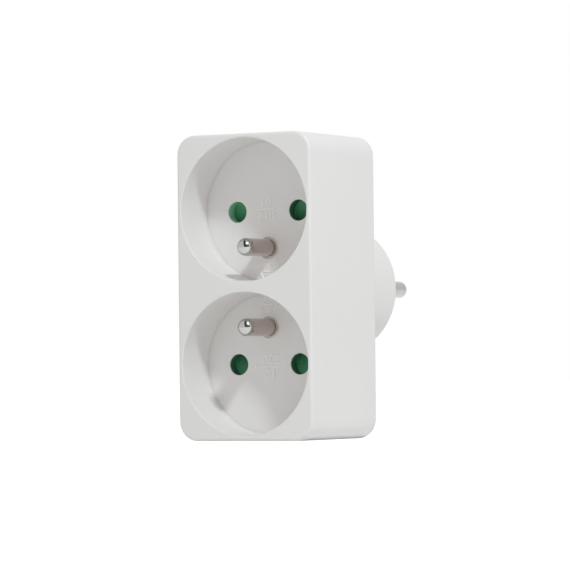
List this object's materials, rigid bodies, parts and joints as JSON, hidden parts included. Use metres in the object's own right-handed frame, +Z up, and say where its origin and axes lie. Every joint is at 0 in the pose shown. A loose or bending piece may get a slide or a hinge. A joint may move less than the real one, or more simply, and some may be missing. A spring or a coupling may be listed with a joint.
{
  "type": "multi socket adapter",
  "caption": "White plug-in mains adapter: round socket wells with earth pins and sprung green shutters in front, a round hollow plug with bare pins at the back.",
  "frame": {"origin": "middle of the flat lower end, halfway from the earth pins' tips to the plug pins' tips", "axes": "+Z up along the long side, the sockets face -Y, the plug pins point to +Y, +X to the right as seen from the front"},
  "size_m": [0.0412, 0.074, 0.0827],
  "materials": {
    "white_plastic": "satin moulded",
    "green_plastic": "moulded",
    "inner_plastic": "moulded",
    "spring_steel": "drawn wire",
    "plated_pin": "nickel plated",
    "brass": "rolled sheet",
    "screw_steel": "zinc plated"
  },
  "bodies": {
    "housing": {"front_housing": "white_plastic", "rear_cover": "white_plastic", "upper_shutter_frame": "green_plastic", "lower_shutter_frame": "green_plastic", "upper_retainer_plate": "inner_plastic", "lower_retainer_plate": "inner_plastic", "upper_shutter_spring": "spring_steel", "lower_shutter_spring": "spring_steel", "upper_earth_pin": "plated_pin", "lower_earth_pin": "plated_pin", "left_plug_pin": "plated_pin", "right_plug_pin": "plated_pin", "earth_strip": "brass", "plug_earth_clip": "brass", "earth_rivet": "brass", "left_contact_strip": "brass", "right_contact_strip": "brass", "housing_screws": "screw_steel"},
    "upper_shutter": {"upper_shutter": "green_plastic"},
    "lower_shutter": {"lower_shutter": "green_plastic"}
  },
  "joints": [
    {"name": "upper_shutter_slide", "type": "slide", "parent": "housing", "child": "upper_shutter", "axis": [0, 0, 1], "range_m": [0, 0.00595], "stiffness_N_per_m": 100, "springref_m": -0.003, "deforming": ["upper_shutter_spring"]},
    {"name": "lower_shutter_slide", "type": "slide", "parent": "housing", "child": "lower_shutter", "axis": [0, 0, -1], "range_m": [0, 0.00595], "stiffness_N_per_m": 100, "springref_m": -0.003, "deforming": ["lower_shutter_spring"]}
  ]
}
